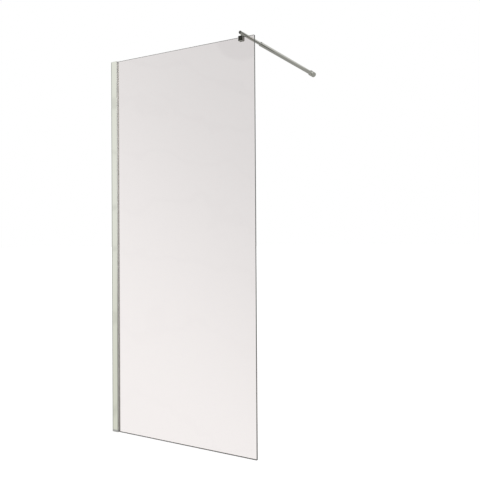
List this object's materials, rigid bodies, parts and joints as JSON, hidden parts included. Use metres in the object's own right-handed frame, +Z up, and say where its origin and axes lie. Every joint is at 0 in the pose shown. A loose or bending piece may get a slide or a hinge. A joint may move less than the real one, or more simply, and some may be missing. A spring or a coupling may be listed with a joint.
{
  "type": "walk-in shower screen",
  "caption": "Fixed clear glass shower panel in a telescoping bright wall profile, braced by a swivelling telescopic round bar from a clamp on its top edge to the opposite wall.",
  "frame": {"origin": "on the wall face behind the wall channel, at floor level, in the middle of the glass's thickness", "axes": "+X from the wall along the glass to its free edge, +Y square to the glass towards the wall that the bar is fixed to, +Z up"},
  "size_m": [0.886, 0.881, 2.0365],
  "materials": {
    "inner_channel_metal": "satin anodised",
    "bright_profile": "polished",
    "chrome": "polished",
    "clear_glass": "clear, polished arrises",
    "clear_rubber": "translucent",
    "grey_plastic": "moulded",
    "white_plastic": "moulded",
    "cover_plastic": "glossy",
    "screw_steel": "plain stainless"
  },
  "bodies": {
    "wall": {"wall_channel": "inner_channel_metal"},
    "screen": {"glass_profile": "bright_profile", "profile_bottom_shoe": "grey_plastic", "profile_top_cap": "cover_plastic", "front_gasket": "clear_rubber", "rear_gasket": "clear_rubber", "edge_packers": "white_plastic", "glass_panel": "clear_glass", "profile_locking_screws": "screw_steel", "screw_covers": "cover_plastic", "clamp_body": "chrome", "clamp_liner": "clear_rubber", "clamp_pressure_plate": "screw_steel", "clamp_screws": "screw_steel", "swivel_stud": "chrome", "swivel_washer": "white_plastic"},
    "bar_rod": {"inner_rod": "chrome", "rod_end_fitting": "chrome", "rod_retaining_screw": "screw_steel", "rod_tail_guide": "white_plastic"},
    "bar_tube": {"outer_tube": "chrome", "guide_bush": "white_plastic", "locking_collar": "chrome", "collar_screw": "screw_steel", "wall_cup": "chrome", "cup_screws": "screw_steel", "bar_wall_base": "screw_steel"}
  },
  "joints": [
    {"name": "profile_adjust", "type": "slide", "parent": "wall", "child": "screen", "axis": [1, 0, 0], "range_m": [-0.005, 0.01]},
    {"name": "bar_swivel", "type": "hinge", "parent": "screen", "child": "bar_rod", "pos_m": [0.8135, 0, 2.021], "axis": [0, 0, 1], "range_deg": [-90, 90]},
    {"name": "bar_extension", "type": "slide", "parent": "bar_rod", "child": "bar_tube", "axis": [0, 1, 0], "range_m": [-0.15, 0.25]}
  ]
}
